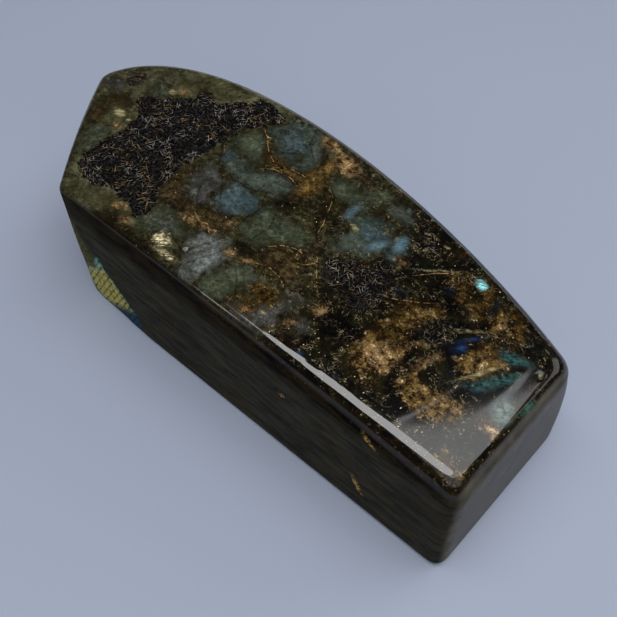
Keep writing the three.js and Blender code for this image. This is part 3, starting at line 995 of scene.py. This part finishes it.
def mark_flat_side(mesh, points):
    """Writes the masks of the flash and the chips on the flat side."""
    across, up = points[:, 0], points[:, 2]
    inward = numpy.maximum(points[:, 1] - STONE_LOW[1] / MM - SIDE_DEPTH_MM, 0)
    side = numpy.stack([across, up, numpy.full(len(points), TOP_MM - LENS_SUNK_MM)], 1)
    write_mask(mesh, "flash_leaf", edge_reach(across, up, FLASH_LEAF, True) + inward)
    write_mask(mesh, "heel_khaki", edge_reach(across, up, HEEL_KHAKI, True) + inward)
    write_mask(mesh, "gold_chips", lens_reach(side, GOLD_CHIPS) + inward)


def strip_place(bm, x, depth):
    """Point under the crest at one place along the stone, where the ground flat has its depth."""
    facing = Vector(STRIP_FACING).normalized()
    near = [v.co for v in bm.verts if abs(v.co.x - x * MM) < STRIP_STATION * MM]
    return max(near, key=facing.dot) - facing * (depth * MM)


def grind_strip(bm):
    """Grinds the narrow flat along the front half of the crest in a few strokes."""
    places = [strip_place(bm, x, depth) for x, depth in STRIP_DEPTHS]
    for start, end in zip(places, places[1:]):
        along = (end - start).normalized()
        facing = Vector(STRIP_FACING)
        outward = facing - along * facing.dot(along)
        geometry = bm.verts[:] + bm.edges[:] + bm.faces[:]
        cut = bmesh.ops.bisect_plane(bm, geom=geometry, plane_co=start, plane_no=outward, clear_outer=True)
        rim = [part for part in cut["geom_cut"] if isinstance(part, bmesh.types.BMEdge)]
        bmesh.ops.holes_fill(bm, edges=rim)
        for edge in rim:
            edge.smooth = False


def sink_pit(bm, x, y, width, depth):
    """Small natural pit in the crowned face."""
    reach = width * MM / 2
    for vert in bm.verts:
        away = math.hypot(vert.co.x - x * MM, vert.co.y - y * MM)
        if vert.normal.z > CROWN_LEVEL and away < reach:
            vert.co.z -= depth * MM * (1 - (away / reach) ** 2)


def smooth_skin(bm):
    """Takes the steps out of the skin, and most of all out of the crowned face."""
    for _ in range(SKIN_SMOOTHING):
        bmesh.ops.smooth_vert(
            bm, verts=bm.verts, factor=0.5, use_axis_x=True, use_axis_y=True, use_axis_z=True
        )
    crown = [v for v in bm.verts if v.normal.z > CROWN_LEVEL]
    for _ in range(CROWN_SMOOTHING):
        bmesh.ops.smooth_vert(bm, verts=crown, factor=0.5, use_axis_z=True)
    bm.normal_update()


def polished_skin():
    """Mesh of the stone with its smooth skin, pits and ground flat."""
    mesh = remeshed(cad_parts["stone"], SKIN_VOXEL)
    bm = bmesh.new()
    bm.from_mesh(mesh)
    bm.normal_update()
    smooth_skin(bm)
    for pit in PITS:
        sink_pit(bm, *pit)
    grind_strip(bm)
    bmesh.ops.recalc_face_normals(bm, faces=bm.faces)
    for face in bm.faces:
        face.smooth = True
    bm.to_mesh(mesh)
    bm.free()
    mesh.name = "stone_polished"
    return mesh


def polished_stone():
    """The stone as it is seen, in place of its plain solid."""
    mesh = polished_skin()
    mark_minerals(mesh)
    stone = bpy.data.objects.new("stone_polished", mesh)
    bpy.context.scene.collection.objects.link(stone)
    mesh.materials.clear()
    mesh.materials.append(labradorite())
    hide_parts("stone")
    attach(stone, "root")


def floor():
    """Board that the stone lies on."""
    bm = bmesh.new()
    bmesh.ops.create_grid(bm, x_segments=1, y_segments=1, size=FLOOR_HALF)
    mesh = bpy.data.meshes.new("floor")
    bm.to_mesh(mesh)
    bm.free()
    mesh.materials.append(tabletop())
    board = bpy.data.objects.new("floor", mesh)
    bpy.context.scene.collection.objects.link(board)


def camera():
    """Camera that sees the stone as the photograph does."""
    data = bpy.data.cameras.new("camera")
    data.lens = CAMERA_LENS
    data.sensor_width = CAMERA_SENSOR
    data.clip_start = CAMERA_NEAR
    eye = bpy.data.objects.new("camera", data)
    eye.location = CAMERA_PLACE
    eye.rotation_euler = (math.pi / 2 - CAMERA_DOWN, 0, CAMERA_TURN)
    bpy.context.scene.collection.objects.link(eye)
    bpy.context.scene.camera = eye


def softbox(name, right, ahead, height, size, tilt, turn, radiance):
    """Large even lamp, placed across and along the camera's view."""
    data = bpy.data.lights.new(name, "AREA")
    data.shape = "RECTANGLE"
    data.size, data.size_y = size
    data.energy = radiance * math.pi * size[0] * size[1]
    lamp = bpy.data.objects.new(name, data)
    across = Vector((math.cos(CAMERA_TURN), math.sin(CAMERA_TURN), 0))
    along = Vector((-math.sin(CAMERA_TURN), math.cos(CAMERA_TURN), 0))
    lamp.location = across * right + along * ahead + Vector((0, 0, height))
    lamp.rotation_euler = (math.radians(tilt), 0, CAMERA_TURN + math.radians(turn))
    bpy.context.scene.collection.objects.link(lamp)


def studio():
    """Hangs the softboxes and lights the room dimly."""
    for box in SOFTBOXES:
        softbox(*box)
    world = bpy.data.worlds.new("studio")
    world.use_nodes = True
    background = world.node_tree.nodes["Background"].inputs
    background["Color"].default_value = SURROUND
    background["Strength"].default_value = 1.0
    bpy.context.scene.world = world
    bpy.context.scene.view_settings.view_transform = "Standard"


polished_stone()
floor()
camera()
studio()
